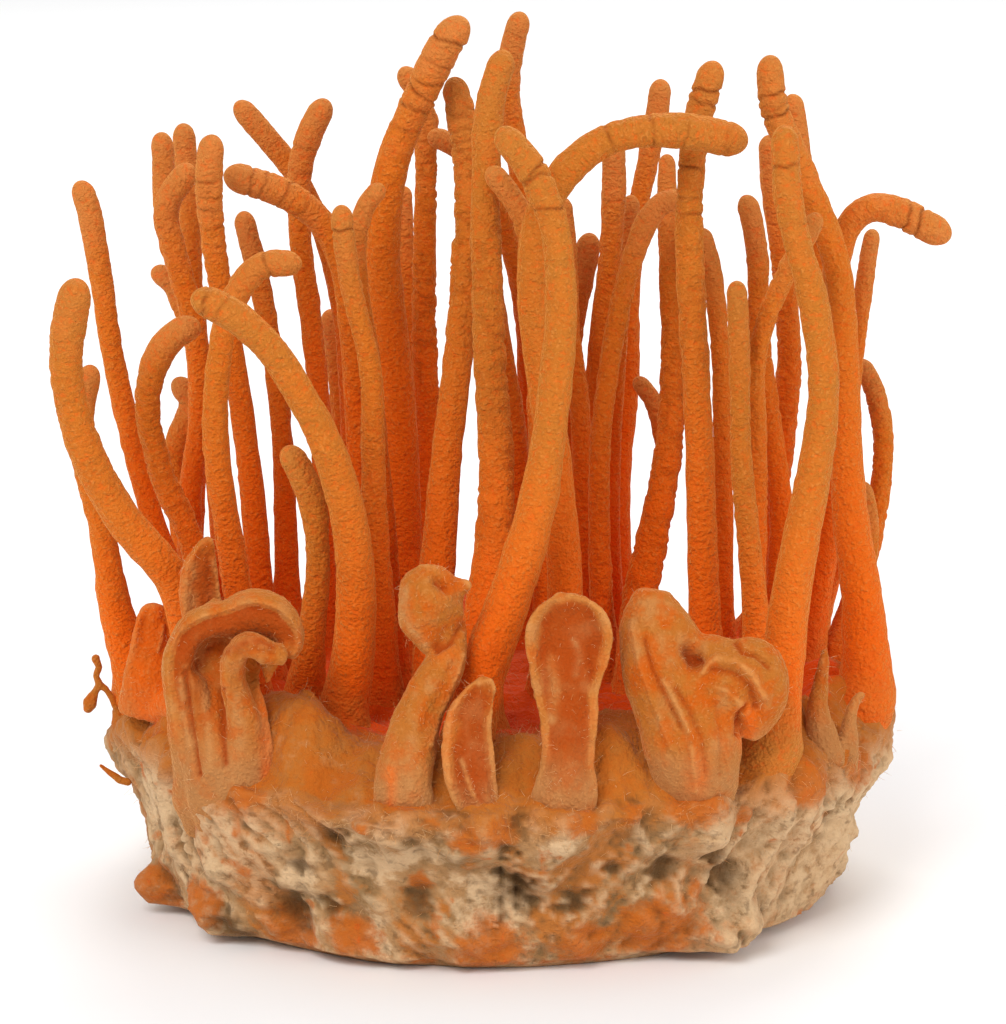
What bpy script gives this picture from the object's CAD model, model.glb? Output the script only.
import math

import bmesh
import bpy
import numpy as np
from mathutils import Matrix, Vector
from mathutils.bvhtree import BVHTree
from mathutils.kdtree import KDTree


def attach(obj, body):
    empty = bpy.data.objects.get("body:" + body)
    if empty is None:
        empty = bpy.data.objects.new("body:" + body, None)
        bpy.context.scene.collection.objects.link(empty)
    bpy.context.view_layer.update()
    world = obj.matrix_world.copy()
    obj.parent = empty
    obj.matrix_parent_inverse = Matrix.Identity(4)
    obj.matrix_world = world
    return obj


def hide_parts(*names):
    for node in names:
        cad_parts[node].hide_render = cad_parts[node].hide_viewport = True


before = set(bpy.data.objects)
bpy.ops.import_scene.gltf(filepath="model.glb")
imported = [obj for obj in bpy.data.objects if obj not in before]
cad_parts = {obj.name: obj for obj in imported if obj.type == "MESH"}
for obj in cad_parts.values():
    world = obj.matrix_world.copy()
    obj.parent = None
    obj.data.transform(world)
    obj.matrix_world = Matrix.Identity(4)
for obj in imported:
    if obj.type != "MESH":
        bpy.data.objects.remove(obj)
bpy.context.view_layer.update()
mm = 0.001

# The camera stands where the photograph was taken from, so places can be typed as they are seen in it
camera = dict(width=1006, height=1024, distance=450.0, elevation=12.0, lookedAt=(0.7, 0.0, 37.8), pointsPerMm=10.0)
tilt = math.radians(camera["elevation"])
forward = Vector((0, math.cos(tilt), -math.sin(tilt)))
upward = Vector((0, math.sin(tilt), math.cos(tilt)))
eye = Vector(camera["lookedAt"]) - forward * camera["distance"]


def rayThrough(column, row):
    spread = camera["distance"] * camera["pointsPerMm"]
    across = Vector(((column - camera["width"] / 2) / spread, 0, 0))
    return forward + upward * ((camera["height"] / 2 - row) / spread) + across


def seenAt(column, row, depth):  # the real place, in mm, of a picture point this far behind the cake's axis
    ray = rayThrough(column, row)
    return eye + ray * ((depth - eye.y) / ray.y)


def seenFrom(places):  # the picture point of each place
    away = places - np.array(eye)
    spread = camera["distance"] * camera["pointsPerMm"] / (away @ np.array(forward))
    return np.column_stack([camera["width"] / 2 + away[:, 0] * spread,
                            camera["height"] / 2 - away @ np.array(upward) * spread])


def strokeOn(places, normals, line, reach):  # 1 along a line typed as seen, fading out, only on what faces the front
    points = seenFrom(places)
    apart = np.full(len(points), 1e9)
    for start, end in zip(line, line[1:]):
        way = np.subtract(end, start)
        t = np.clip((points - start) @ way / max(way @ way, 1e-9), 0, 1)
        apart = np.minimum(apart, np.linalg.norm(points - start - t[:, None] * way, axis=1))
    return np.exp(-(apart / reach) ** 2) * eased(-(normals @ np.array(forward)), -0.1, 0.35)


# Smooth random fields, for every uneven surface
def smoothNoise(points, size, seed=0):
    scaled = points / size + seed * 31.7
    cell = np.floor(scaled).astype(np.int64)
    part = scaled - cell
    part = part * part * (3 - 2 * part)
    total = np.zeros(len(points))
    for corner in range(8):
        step = np.array([corner & 1, corner >> 1 & 1, corner >> 2 & 1])
        at = cell + step
        mixed = ((at[:, 0] * 73856093) ^ (at[:, 1] * 19349663) ^ (at[:, 2] * 83492791)) & 0xFFFFFFFF
        mixed = ((mixed ^ (mixed >> 15)) * 2246822519) & 0xFFFFFFFF
        mixed = ((mixed ^ (mixed >> 13)) * 3266489917) & 0xFFFFFFFF
        value = ((mixed ^ (mixed >> 16)) & 0xFFFF) / 32767.5 - 1
        total += value * np.prod(np.where(step, part, 1 - part), axis=1)
    return total


def layeredNoise(points, size, seed=0, layers=3):
    total = sum(smoothNoise(points, size / 2 ** i, seed + i) / 2 ** i for i in range(layers))
    return total / 1.6


def eased(values, low, high):
    share = np.clip((values - low) / (high - low), 0, 1)
    return share * share * (3 - 2 * share)


# Meshes in and out of arrays, in mm
def placesOf(mesh):
    places = np.empty(len(mesh.vertices) * 3)
    mesh.vertices.foreach_get("co", places)
    return places.reshape(-1, 3) / mm


def normalsOf(mesh):
    normals = np.empty(len(mesh.vertices) * 3)
    mesh.vertex_normals.foreach_get("vector", normals)
    return normals.reshape(-1, 3)


def movePlaces(mesh, places):
    mesh.vertices.foreach_set("co", (places * mm).ravel())
    mesh.update()


def paint(mesh, name, values):
    layer = mesh.attributes.get(name) or mesh.attributes.new(name, "FLOAT", "POINT")
    layer.data.foreach_set("value", np.asarray(values, dtype=np.float32))


def standingOut(mesh, rounds=2):  # above 0 on ridges and rims, below 0 in creases, in mm
    places, normals = placesOf(mesh), normalsOf(mesh)
    ends = np.empty(len(mesh.edges) * 2, dtype=np.int64)
    mesh.edges.foreach_get("vertices", ends)
    first, second = ends.reshape(-1, 2).T
    count = np.bincount(ends, minlength=len(places)).clip(1)[:, None]

    def spreadOut(values):
        total = np.zeros_like(values)
        np.add.at(total, first, values[second])
        np.add.at(total, second, values[first])
        return total / count

    smoothed = places
    for _ in range(rounds):
        smoothed = (smoothed + spreadOut(smoothed)) / 2
    out = ((places - smoothed) * normals).sum(1)
    for _ in range(2):
        out = (out + spreadOut(out[:, None])[:, 0]) / 2
    return out


def asPiece(name, mesh, material, nodes=()):
    mesh.materials.clear()
    mesh.materials.append(material)
    mesh.shade_smooth()
    piece = bpy.data.objects.new(name, mesh)
    bpy.context.collection.objects.link(piece)
    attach(piece, "root")
    if nodes:
        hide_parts(*nodes)
    return piece


def mergedCopy(nodeName):
    bm = bmesh.new()
    bm.from_mesh(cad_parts[nodeName].data)
    bmesh.ops.remove_doubles(bm, verts=bm.verts, dist=0.002 * mm)
    return bm


# Materials
def addNode(tree, kind, settings=None, **inputs):
    made = tree.nodes.new(kind)
    for name, value in (settings or {}).items():
        setattr(made, name, value)
    for name, value in inputs.items():
        socket = made.inputs[int(name[1:])] if name[0] == "i" and name[1:].isdigit() else made.inputs[name]
        if isinstance(value, bpy.types.NodeSocket):
            tree.links.new(value, socket)
        else:
            socket.default_value = value
    return made


def blended(tree, share, first, second):  # two colours, or a colour and a socket
    mixed = addNode(tree, "ShaderNodeMix", dict(data_type="RGBA"), i0=share)
    for index, value in ((6, first), (7, second)):
        if isinstance(value, bpy.types.NodeSocket):
            tree.links.new(value, mixed.inputs[index])
        else:
            mixed.inputs[index].default_value = (*value, 1)
    return mixed.outputs[2]


def counted(tree, operation, *values):
    made = addNode(tree, "ShaderNodeMath", dict(operation=operation))
    for i, value in enumerate(values):
        if isinstance(value, bpy.types.NodeSocket):
            tree.links.new(value, made.inputs[i])
        else:
            made.inputs[i].default_value = value
    return made.outputs[0]


def stretched(tree, value, low, high, newLow=0.0, newHigh=1.0):
    made = addNode(tree, "ShaderNodeMapRange", dict(interpolation_type="SMOOTHSTEP"))
    for i, given in enumerate((value, low, high, newLow, newHigh)):
        if isinstance(given, bpy.types.NodeSocket):
            tree.links.new(given, made.inputs[i])
        else:
            made.inputs[i].default_value = given
    return made.outputs[0]


def painted(tree, name):
    return addNode(tree, "ShaderNodeAttribute", dict(attribute_name=name)).outputs["Fac"]


def makeGrainGroup():
    # fine grain of the flesh: a mottle for the colour and a height for the bump, both in Object coordinates
    group = bpy.data.node_groups.new("fleshGrain", "ShaderNodeTree")
    for name, size in (("Mottle Size", 2.5), ("Grain Size", 0.34), ("Pores", 0.45)):
        socket = group.interface.new_socket(name, in_out="INPUT", socket_type="NodeSocketFloat")
        socket.default_value = size
    group.interface.new_socket("Mottle", in_out="OUTPUT", socket_type="NodeSocketFloat")
    group.interface.new_socket("Height", in_out="OUTPUT", socket_type="NodeSocketFloat")
    inside = group.nodes.new("NodeGroupInput")
    outside = group.nodes.new("NodeGroupOutput")
    place = addNode(group, "ShaderNodeTexCoord").outputs["Object"]
    coarse = counted(group, "DIVIDE", 1 / mm, inside.outputs["Mottle Size"])
    fine = counted(group, "DIVIDE", 1 / mm, inside.outputs["Grain Size"])
    cloud = addNode(group, "ShaderNodeTexNoise", Vector=place, Scale=coarse, Detail=4.0, Roughness=0.6)
    grain = addNode(group, "ShaderNodeTexNoise", Vector=place, Scale=fine, Detail=1.0, Roughness=0.5)
    pore = addNode(group, "ShaderNodeTexVoronoi", Vector=place, Scale=fine)
    dots = counted(group, "MULTIPLY", pore.outputs["Distance"], inside.outputs["Pores"])
    group.links.new(cloud.outputs["Fac"], outside.inputs["Mottle"])
    group.links.new(counted(group, "SUBTRACT", grain.outputs["Fac"], dots), outside.inputs["Height"])
    return group


grainGroup = makeGrainGroup()


def startMaterial(name, roughness, sheen, sheenTint):
    material = bpy.data.materials.new(name)
    material.use_nodes = True
    tree = material.node_tree
    shader = tree.nodes["Principled BSDF"]
    shader.inputs["Roughness"].default_value = roughness
    shader.inputs["Specular IOR Level"].default_value = 0.12
    shader.inputs["Sheen Weight"].default_value = sheen
    shader.inputs["Sheen Roughness"].default_value = 0.45
    shader.inputs["Sheen Tint"].default_value = (*sheenTint, 1)
    return material, tree, shader


def makeStemMaterial():
    # deep orange at the foot, paler and sandier towards the tip, dark in the cracks
    look = dict(foot=(0.78, 0.086, 0.000), middle=(0.81, 0.118, 0.000), upper=(0.62, 0.142, 0.007),
                tip=(0.56, 0.188, 0.040), tan=(0.46, 0.150, 0.016), crack=(0.20, 0.030, 0.000),
                fleck=(0.72, 0.26, 0.05), felt=(0.50, 0.155, 0.020))
    material, tree, shader = startMaterial("velvetyStem", 0.7, 0.7, (1.0, 0.44, 0.10))
    along, crease, tone = painted(tree, "along"), painted(tree, "crease"), painted(tree, "tone")
    grain = addNode(tree, "ShaderNodeGroup", dict(node_tree=grainGroup))
    mottle = grain.outputs["Mottle"]
    shifted = counted(tree, "ADD", along, counted(tree, "MULTIPLY", counted(tree, "SUBTRACT", mottle, 0.5), 0.35))
    colour = blended(tree, stretched(tree, shifted, 0.0, 0.35), look["foot"], look["middle"])
    colour = blended(tree, stretched(tree, shifted, 0.35, 0.75), colour, look["upper"])
    colour = blended(tree, stretched(tree, shifted, 0.75, 1.0), colour, look["tip"])
    colour = blended(tree, counted(tree, "MULTIPLY", tone, stretched(tree, along, 0.1, 0.6)), colour, look["tan"])
    colour = blended(tree, stretched(tree, mottle, 0.35, 0.7, 0.0, 0.22), colour, look["middle"])
    skin = addNode(tree, "ShaderNodeAttribute", dict(attribute_name="skin")).outputs["Vector"]
    folds = addNode(tree, "ShaderNodeTexNoise", Vector=skin, Scale=1.1, Detail=3.0, Roughness=0.6).outputs["Fac"]
    colour = blended(tree, painted(tree, "felt"), colour, look["felt"])
    flecks = stretched(tree, grain.outputs["Height"], 0.28, 0.62, 0.0, 0.42)
    colour = blended(tree, counted(tree, "MULTIPLY", flecks, stretched(tree, along, 0.0, 0.5, 0.3)), colour, look["fleck"])
    colour = blended(tree, stretched(tree, folds, 0.5, 0.3, 0.0, 0.4), colour, look["foot"])
    colour = blended(tree, counted(tree, "MULTIPLY", crease, 0.9), colour, look["crack"])
    tree.links.new(colour, shader.inputs["Base Color"])
    height = counted(tree, "ADD", counted(tree, "MULTIPLY", grain.outputs["Height"], 0.7), counted(tree, "MULTIPLY", folds, 1.6))
    bump = addNode(tree, "ShaderNodeBump", Height=height, Strength=1.0, Distance=0.3 * mm)
    tree.links.new(bump.outputs["Normal"], shader.inputs["Normal"])
    return material


def makeLobeMaterial():
    # tan and orange flesh with pale velvet on the rims, dark red hollows and whitish fuzz
    look = dict(skin=(0.50, 0.088, 0.001), tan=(0.43, 0.128, 0.014), rim=(0.60, 0.235, 0.060),
                hollow=(0.34, 0.044, 0.000), fuzz=(0.50, 0.22, 0.070), foot=(0.41, 0.175, 0.055), fleck=(0.64, 0.26, 0.07),
                vivid=(0.72, 0.105, 0.000))
    material, tree, shader = startMaterial("curledLobe", 0.75, 0.5, (1.0, 0.50, 0.18))
    rim, hollow, fuzz, low, vivid = (painted(tree, name) for name in ("rim", "hollow", "fuzz", "low", "vivid"))
    grain = addNode(tree, "ShaderNodeGroup", dict(node_tree=grainGroup))
    mottle = grain.outputs["Mottle"]
    colour = blended(tree, stretched(tree, mottle, 0.34, 0.6), look["skin"], look["tan"])
    colour = blended(tree, counted(tree, "MULTIPLY", low, stretched(tree, mottle, 0.3, 0.55, 0.6, 1.0)), colour, look["foot"])
    colour = blended(tree, vivid, colour, look["vivid"])
    colour = blended(tree, hollow, colour, look["hollow"])
    colour = blended(tree, rim, colour, look["rim"])
    streaks = counted(tree, "MULTIPLY", fuzz, stretched(tree, mottle, 0.4, 0.6, 0.25, 1.0))
    colour = blended(tree, streaks, colour, look["fuzz"])
    flecks = counted(tree, "MULTIPLY", stretched(tree, grain.outputs["Height"], 0.25, 0.65, 0.0, 0.3),
                     stretched(tree, hollow, 0.1, 0.8, 1.0, 0.25))
    colour = blended(tree, flecks, colour, look["fleck"])
    tree.links.new(colour, shader.inputs["Base Color"])
    bump = addNode(tree, "ShaderNodeBump", Height=grain.outputs["Height"], Strength=1.0, Distance=0.2 * mm)
    tree.links.new(bump.outputs["Normal"], shader.inputs["Normal"])
    return material


def makeCakeMaterial():
    # matted grain: cream and olive-grey felt, orange stains, dark pits
    look = dict(cream=(0.43, 0.225, 0.090), olive=(0.25, 0.140, 0.055), pale=(0.66, 0.445, 0.250),
                orange=(0.47, 0.110, 0.008), deep=(0.66, 0.064, 0.000), pit=(0.060, 0.026, 0.007),
                velvet=(0.45, 0.135, 0.016), rust=(0.44, 0.140, 0.022))
    material, tree, shader = startMaterial("mattedCake", 0.85, 0.15, (1.0, 0.7, 0.45))
    stain, pit, ridge, pale = (painted(tree, name) for name in ("stain", "pit", "ridge", "pale"))
    velvet, valley = painted(tree, "velvet"), painted(tree, "valley")
    grain = addNode(tree, "ShaderNodeGroup", dict(node_tree=grainGroup))
    grain.inputs["Mottle Size"].default_value = 4.5
    grain.inputs["Grain Size"].default_value = 0.35
    grain.inputs["Pores"].default_value = 0.25
    mottle = grain.outputs["Mottle"]
    fineClouds = addNode(tree, "ShaderNodeTexNoise", Vector=addNode(tree, "ShaderNodeTexCoord").outputs["Object"],
                         Scale=0.8 / mm, Detail=4.0, Roughness=0.62).outputs["Fac"]
    place = addNode(tree, "ShaderNodeTexCoord").outputs["Object"]
    patches = addNode(tree, "ShaderNodeTexNoise", Vector=place, Scale=0.16 / mm, Detail=5.0, Roughness=0.62).outputs["Fac"]
    crumbs = addNode(tree, "ShaderNodeTexVoronoi", Vector=place, Scale=0.75 / mm, Randomness=1.0)
    colour = blended(tree, stretched(tree, mottle, 0.40, 0.66), look["cream"], look["olive"])
    colour = blended(tree, stretched(tree, patches, 0.49, 0.60, 0.0, 0.9), colour, look["rust"])
    colour = blended(tree, stretched(tree, patches, 0.47, 0.37, 0.0, 0.85), colour, look["pale"])
    colour = blended(tree, counted(tree, "MULTIPLY", pale, stretched(tree, fineClouds, 0.3, 0.6, 0.15, 0.85)), colour, look["pale"])
    colour = blended(tree, counted(tree, "MULTIPLY", ridge, 0.6), colour, look["pale"])
    colour = blended(tree, counted(tree, "MULTIPLY", valley, 0.7), colour, look["olive"])
    specks = counted(tree, "MULTIPLY", stretched(tree, crumbs.outputs["Distance"], 0.45, 0.7),
                     stretched(tree, fineClouds, 0.50, 0.36, 0.0, 0.4))
    colour = blended(tree, specks, colour, look["pit"])
    colour = blended(tree, counted(tree, "MULTIPLY", velvet, stretched(tree, fineClouds, 0.25, 0.6, 0.75, 1.0)), colour,
                     look["velvet"])
    uneven = counted(tree, "ADD", stain, counted(tree, "MULTIPLY", counted(tree, "SUBTRACT", fineClouds, 0.5), 1.5))
    colour = blended(tree, stretched(tree, uneven, 0.2, 0.95, 0.0, 0.9), colour, look["orange"])
    colour = blended(tree, stretched(tree, uneven, 0.95, 1.5), colour, look["deep"])
    colour = blended(tree, pit, colour, look["pit"])
    tree.links.new(colour, shader.inputs["Base Color"])
    height = counted(tree, "ADD", counted(tree, "MULTIPLY", grain.outputs["Height"], 0.35), fineClouds)
    height = counted(tree, "SUBTRACT", height, counted(tree, "MULTIPLY", crumbs.outputs["Distance"], 0.5))
    bump = addNode(tree, "ShaderNodeBump", Height=height, Strength=0.9, Distance=0.5 * mm)
    tree.links.new(bump.outputs["Normal"], shader.inputs["Normal"])
    return material


stemMaterial, lobeMaterial, cakeMaterial = makeStemMaterial(), makeLobeMaterial(), makeCakeMaterial()
print("materials made")

# The stems: each follows the course of its solid
stems = dict(sides=30, rings=210, tipRings=9, solidSides=6, cornerAllowance=1.05, sink=3.0,
             flare=0.6, flareReach=1.8, waviness=0.04, grain=0.04, ripple=0.085, tipLength=1.35, velvet=0.3)
longerTips = {"stem_39": 0.7, "stem_42": 0.2}
broadFeet = {"stem_03": 1.0, "stem_12": 0.0, "stem_27": 0.0, "stem_43": 0.4, "stem_42": 0.0}
cracks = {  # distance from the tip, depth and slant of each strong crack, in mm
    "stem_19": [(2.7, 0.2, 0.5), (5.4, 0.24, 0.4), (7.0, 0.16, -0.3), (8.5, 0.26, 0.5), (9.9, 0.2, 0.2), (12.3, 0.1, 0.3)],
    "stem_28": [(2.1, 0.16, 0.1), (9.4, 0.2, 0.2), (13.2, 0.16, -0.1), (6.1, 0.08, 0.2)],
    "stem_45": [(3.4, 0.2, 0.2), (4.9, 0.16, 0.3)],
    "stem_27": [(5.4, 0.18, 0.5), (6.1, 0.14, 0.4), (8.9, 0.2, 0.4)],
    "stem_17": [(2.3, 0.16, 0.1)],
    "stem_11": [(2.6, 0.14, 0.2), (4.1, 0.12, 0.3), (6.3, 0.13, 0.2), (8.4, 0.1, 0.3)],
    "stem_12": [(1.4, 0.16, 0.2), (3.2, 0.07, 0.4)],
    "stem_37": [(3.0, 0.2, 0.3), (4.3, 0.14, 0.2), (10.4, 0.2, -0.1), (13.3, 0.18, 0.2), (14.9, 0.14, 0.1)],
    "stem_42": [(3.9, 0.16, 0.2), (9.5, 0.06, 0.2)],
    "stem_43": [(3.9, 0.2, 0.3), (6.0, 0.22, 0.3), (5.0, 0.1, -0.2)],
    "stem_09": [(4.6, 0.14, 0.2), (6.2, 0.16, 0.1), (7.6, 0.12, 0.2), (9.3, 0.1, 0.1)],
    "stem_13": [(3.3, 0.14, 0.1)],
    "stem_16": [(5.5, 0.08, 0.2), (8.0, 0.06, 0.2)],
}
wrinkles = {  # from and to, as distances from the tip in mm, spacing and depth of the folds
    "stem_23": (2.4, 24, 1.5, 0.17),
    "stem_21": (3.5, 34, 1.15, 0.14),
    "stem_25": (20, 50, 1.3, 0.13),
    "stem_37": (8, 28, 1.8, 0.09),
    "stem_09": (3, 14, 1.3, 0.07),
    "stem_34": (18, 50, 1.4, 0.11),
    "stem_41": (6, 30, 1.2, 0.09),
    "stem_04": (8, 28, 1.3, 0.08),
    "stem_40": (5, 24, 1.4, 0.06),
    "stem_47": (3, 24, 1.3, 0.08),
    "stem_52": (12, 40, 1.6, 0.09),
    "stem_01": (2, 20, 1.5, 0.06),
    "stem_35": (10, 40, 1.6, 0.05),
    "stem_24": (6, 20, 1.5, 0.05),
}


def roundBar(sides, rings):  # a straight bar of unit radius and length with a ring for every step
    bm = bmesh.new()
    bmesh.ops.create_cone(bm, cap_ends=True, cap_tris=False, segments=sides, radius1=1, radius2=1, depth=1)
    long = [edge for edge in bm.edges if abs(edge.verts[0].co.z - edge.verts[1].co.z) > 0.5]
    bmesh.ops.subdivide_edges(bm, edges=long, cuts=rings - 2, use_grid_fill=True)
    return bm


def stemBlank():  # every stem is bent from a copy of it
    bm = roundBar(stems["sides"], stems["rings"])
    mesh = bpy.data.meshes.new("stemBlank")
    bm.to_mesh(mesh)
    bm.free()
    return mesh


def courseOf(nodeName):  # the solid's rings from its level foot to its tip: their middles and radii in mm
    bm = mergedCopy(nodeName)
    ring = set(sorted(bm.verts, key=lambda vertex: vertex.co.z)[:stems["solidSides"]])
    seen, middles, radii = set(ring), [], []
    while ring:
        places = np.array([vertex.co for vertex in ring]) / mm
        middle = places.mean(0)
        middles.append(middle)
        radii.append(np.linalg.norm(places - middle, axis=1).mean() / stems["cornerAllowance"])
        ring = {edge.other_vert(vertex) for vertex in ring for edge in vertex.link_edges} - seen
        seen |= ring
    bm.free()
    return np.array(middles), np.array(radii)


def smoothCourse(middles, radii):  # dense places along the course, their radii, and the length up to each
    gaps = np.linalg.norm(np.diff(middles, axis=0), axis=1)[:, None]
    paces = np.diff(middles, axis=0) / gaps
    speeds = (paces[:-1] * gaps[1:] + paces[1:] * gaps[:-1]) / (gaps[1:] + gaps[:-1])
    speeds = np.vstack([paces[:1], speeds, paces[-1:]])
    dense = []
    for i, gap in enumerate(gaps):
        for t in np.linspace(0, 1, 24, endpoint=False):
            dense.append((1 + 2 * t) * (1 - t) ** 2 * middles[i] + t * (1 - t) ** 2 * gap * speeds[i]
                         + t * t * (3 - 2 * t) * middles[i + 1] - t * t * (1 - t) * gap * speeds[i + 1])
    dense = np.array(dense + [middles[-1]])
    gone = np.concatenate([[0], np.cumsum(np.linalg.norm(np.diff(dense, axis=0), axis=1))])
    knots = gone[::24][:len(middles)]
    body = np.interp(gone, knots[:-2], radii[:-2])
    window = np.hanning(31)
    smooth = np.convolve(np.pad(body, 15, mode="edge"), window / window.sum(), mode="valid")
    return dense, smooth, gone


def growStem(nodeName, blank):
    middles, radii = courseOf(nodeName)
    # a foot near the rim runs on down into the cake's side
    foot = middles[0].copy()
    outside = float(eased(math.hypot(foot[0] / 39, foot[1] / 38.2), 0.80, 0.94))
    lower = foot * (1 - 0.03 * outside, 1 - 0.03 * outside, 1) - (0, 0, stems["sink"])
    lowest = foot * (1 - 0.16 * outside, 1 - 0.16 * outside, 1) - (0, 0, stems["sink"] + 0.3 + 5.5 * outside)
    last = middles[-1] - middles[-2]
    middles[-1] += last / np.linalg.norm(last) * (stems["velvet"] + longerTips.get(nodeName, 0))
    middles = np.vstack([lowest, lower, middles])
    radii = np.concatenate([radii[:1], radii[:1], radii])
    dense, body, gone = smoothCourse(middles, radii)
    length, tipRadius = gone[-1], body[-1]
    number = int(nodeName[-2:])

    # where each ring sits: closer together towards the tip, and round it in equal turns
    straight = stems["rings"] - stems["tipRings"]
    t = np.linspace(0, 1, straight)
    tipLength = tipRadius * stems["tipLength"]
    shaft = (length - tipLength) * (1.5 * t - 0.5 * t ** 2)
    turn = np.linspace(0, 0.97, stems["tipRings"] + 1)[1:] * math.pi / 2
    along = np.concatenate([shaft, length - tipLength * (1 - np.sin(turn))])
    roundness = np.concatenate([np.ones(straight), np.cos(turn)])
    centre = np.column_stack([np.interp(along, gone, dense[:, i]) for i in range(3)])
    radius = np.interp(along, gone, body)
    swell = 0.05 * np.exp(-((length - along - 5.5) / 3.5) ** 2) - 0.05 * np.exp(-((length - along - 12) / 4.5) ** 2)
    radius = radius * (1 + swell) * roundness
    buried = np.linalg.norm(lowest - lower) + np.linalg.norm(lower - foot)
    above = np.clip(along - buried - 0.8 * outside, 0, None)
    radius += stems["flare"] * radii[0] * 0.55 * np.exp(-above / stems["flareReach"])
    radius += broadFeet.get(nodeName, 0.25) * np.exp(-above / 6.0)

    # a frame carried along the course without twist
    heading = np.gradient(centre, axis=0)
    heading /= np.linalg.norm(heading, axis=1)[:, None]
    side = np.empty_like(centre)
    carried = np.array([1.0, 0.0, 0.0])
    for i, way in enumerate(heading):
        carried = carried - way * carried.dot(way)
        carried /= np.linalg.norm(carried)
        side[i] = carried
    behind = np.cross(heading, side)

    mesh = blank.copy()
    mesh.name = nodeName
    straightPlaces = placesOf(mesh) * mm
    ring = np.rint((straightPlaces[:, 2] + 0.5) * (stems["rings"] - 1)).astype(int)
    angle = np.arctan2(straightPlaces[:, 1], straightPlaces[:, 0])
    outward = side[ring] * np.cos(angle)[:, None] + behind[ring] * np.sin(angle)[:, None]
    surface = centre[ring] + outward * radius[ring][:, None]
    left = (length - along)[ring]

    # uneven growth, sandy grain, wrinkles and cracks
    drum = np.column_stack([np.cos(angle), np.sin(angle), along[ring]])
    bodyRadius = radius[ring]
    relief = bodyRadius * stems["waviness"] * (layeredNoise(surface, 5.0, number) * 1.3 + smoothNoise(surface, 1.6, number + 40))
    sandy = stems["grain"] * (0.45 + 0.55 * eased(left, 40, 6))
    relief += sandy * smoothNoise(surface, 0.42, number + 7)
    chevrons = smoothNoise(drum * (2.2, 2.2, 1.25) + np.abs(np.sin(angle * 3 + number))[:, None] * (0, 0, 0.5), 1.0, number + 50)
    rippled = 0.25 + 0.75 * eased(smoothNoise(drum * (1.1, 1.1, 0.25), 1.0, number + 51), -0.5, 0.4)
    relief += stems["ripple"] * chevrons * rippled * eased(left, 2, 7)
    crease = np.zeros(len(ring))
    fold = wrinkles.get(nodeName, (2.5, 22, 1.6, 0.028))
    start, end, gap, depth = fold
    squeezed = drum * (0.75, 0.75, 1.5 / gap)
    wave = np.abs(smoothNoise(squeezed, 1.0, number + 90) + 0.3 * smoothNoise(squeezed * 2.1, 1.0, number + 91))
    groove = np.exp(-(wave / 0.2) ** 2)
    patch = eased(smoothNoise(drum * (1, 1, 0.3), 1.0, number + 5), -0.9, 0.0)
    strength = eased(left, start * 0.5, start + 1.5) * eased(left, end + 5, end) * patch
    relief += 1.5 * depth * strength * (0.4 - groove)
    crease += strength * groove * min(0.35, depth * 2.2)
    for i, (place, deep, slant) in enumerate(cracks.get(nodeName, ())):
        wobble = 0.28 * smoothNoise(drum * (1.2, 1.2, 0) + i * 3.3, 0.7, number + i)
        apart = left - place + slant * np.cos(angle + 0.6 + i) + wobble
        faces = 0.35 + 0.65 * eased(smoothNoise(drum * (1, 1, 0) + i * 7.1, 1.1, number + 60), -0.7, 0.1)
        gash = np.exp(-(apart / 0.15) ** 2) * faces
        lips = np.exp(-((np.abs(apart) - 0.42) / 0.24) ** 2) * faces
        relief += 1.1 * deep * (0.16 * lips - gash)
        crease = np.maximum(crease, gash * min(1.0, deep * 5.5))
    relief *= roundness[ring]
    movePlaces(mesh, surface + outward * relief[:, None])
    paint(mesh, "along", along[ring] / length)
    skin = mesh.attributes.new("skin", "FLOAT_VECTOR", "POINT")
    unrolled = drum * (bodyRadius * 1.2).reshape(-1, 1)
    unrolled[:, 2] = along[ring] * 1.8 + number * 7
    skin.data.foreach_set("vector", unrolled.astype(np.float32).ravel())
    paint(mesh, "crease", np.clip(crease, 0, 1))
    ragged = above[ring] + 1.8 * smoothNoise(surface, 2.0, number + 30)
    paint(mesh, "felt", eased(ragged, 5.5, 0.5) * (0.35 + 0.65 * eased(foot[1] + 0 * angle, -8, -26)))
    nearness = eased(foot[1] + 0 * angle, 4, -24)
    paint(mesh, "tone", np.clip(nearness * 0.85 + 0.1 * smoothNoise(surface, 9.0, 3), 0, 1))
    return asPiece("club" + nodeName[4:], mesh, stemMaterial, [nodeName]), foot, radii[0] * (1 + 0.55 * stems["flare"])


blank = stemBlank()
feet, footReaches = [], []
for nodeName in sorted(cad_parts):
    if nodeName.startswith("stem"):
        piece, foot, reach = growStem(nodeName, blank)
        feet.append(foot)
        footReaches.append(reach)
bpy.data.meshes.remove(blank)
feet = np.array(feet)
print("stems grown:", len(feet))

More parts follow.
